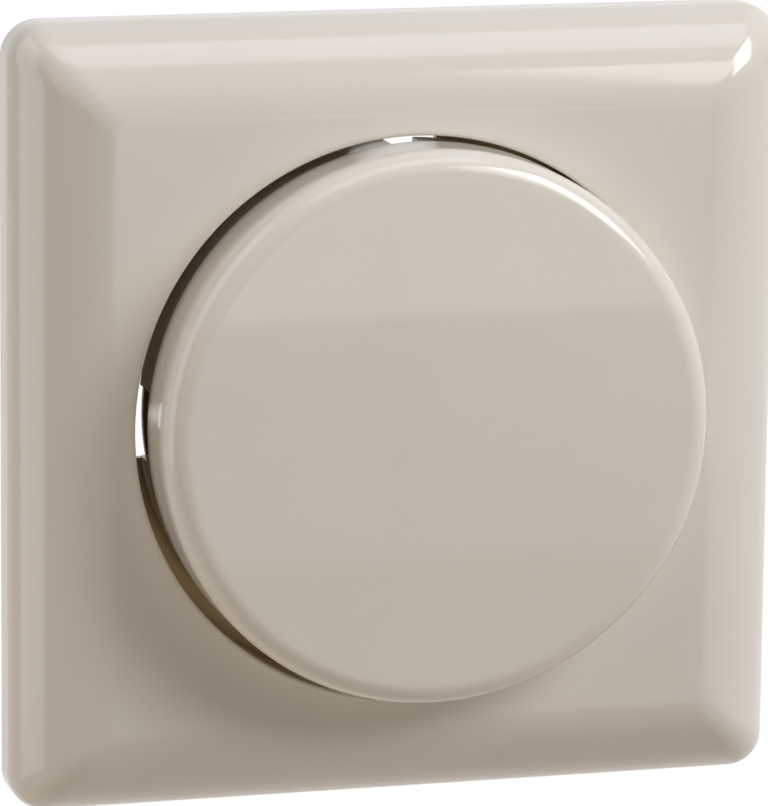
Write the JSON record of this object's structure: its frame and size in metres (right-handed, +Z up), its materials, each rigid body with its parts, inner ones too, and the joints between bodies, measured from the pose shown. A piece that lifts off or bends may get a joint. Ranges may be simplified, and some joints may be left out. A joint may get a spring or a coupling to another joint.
{
  "type": "pushbutton switch",
  "caption": "Flush wall pushbutton: square pillow-edged cover frame, a large round push button standing proud of it, and a riveted switch insert behind.",
  "frame": {"origin": "the middle of the support ring's back face, on the wall plane and on the centre line of the cover frame, half way between the two wall-box screw slots", "axes": "+X right and +Z up as seen from the room, +Y into the wall; the button faces -Y"},
  "size_m": [0.08, 0.0443, 0.08],
  "materials": {
    "cover_plastic": "glossy moulded cream-white thermoplastic",
    "button_plastic": "glossy moulded cream-white thermoplastic",
    "slider_plastic": "natural moulded thermoplastic",
    "guide_plastic": "moulded grey thermoplastic",
    "base_plastic": "moulded light grey thermoset",
    "zinc_plated_steel": "pressed and zinc-plated",
    "rivet_brass": "drawn tube, plain",
    "contact_brass": "rolled strip",
    "silver_tip": "silver alloy, rolled",
    "spring_steel": "drawn spring wire",
    "strip_steel": "rolled spring strip",
    "lever_plastic": "moulded thermoplastic"
  },
  "bodies": {
    "insert": {"cover_frame": "cover_plastic", "support_ring": "zinc_plated_steel", "base": "base_plastic", "guide_plate": "guide_plastic", "rivets": "rivet_brass", "fixed_contact_tips": "silver_tip", "contact_rail_left": "contact_brass", "contact_rail_right": "contact_brass", "clamp_spring_upper_left": "strip_steel", "clamp_spring_upper_right": "strip_steel", "clamp_spring_lower_left": "strip_steel", "clamp_spring_lower_right": "strip_steel", "return_spring_upper_left": "spring_steel", "return_spring_upper_right": "spring_steel", "return_spring_lower_left": "spring_steel", "return_spring_lower_right": "spring_steel"},
    "push_button": {"button": "button_plastic", "carrier": "slider_plastic", "contact_spring": "spring_steel"},
    "moving_contact": {"contact_bridge": "contact_brass", "bridge_contact_tips": "silver_tip"},
    "left_lever": {"release_lever_left": "lever_plastic"},
    "right_lever": {"release_lever_right": "lever_plastic"}
  },
  "joints": [
    {"name": "button_press", "type": "slide", "parent": "insert", "child": "push_button", "axis": [0, 1, 0], "range_m": [0, 0.0017], "stiffness_N_per_m": 900, "springref_m": -0.0015, "deforming": ["return_spring_upper_left", "return_spring_upper_right", "return_spring_lower_left", "return_spring_lower_right", "contact_spring"]},
    {"name": "contact_travel", "type": "slide", "parent": "insert", "child": "moving_contact", "axis": [0, 1, 0], "range_m": [0, 0.00115], "deforming": ["contact_spring"]},
    {"name": "left_lever_press", "type": "slide", "parent": "insert", "child": "left_lever", "axis": [0, -1, 0], "range_m": [0, 0.0012], "stiffness_N_per_m": 1500, "springref_m": -0.0005, "deforming": ["clamp_spring_upper_left", "clamp_spring_lower_left"]},
    {"name": "right_lever_press", "type": "slide", "parent": "insert", "child": "right_lever", "axis": [0, -1, 0], "range_m": [0, 0.0012], "stiffness_N_per_m": 1500, "springref_m": -0.0005, "deforming": ["clamp_spring_upper_right", "clamp_spring_lower_right"]}
  ],
  "couplings": [
    {"joint": "contact_travel", "follows": "button_press", "ratio": 0.676}
  ]
}
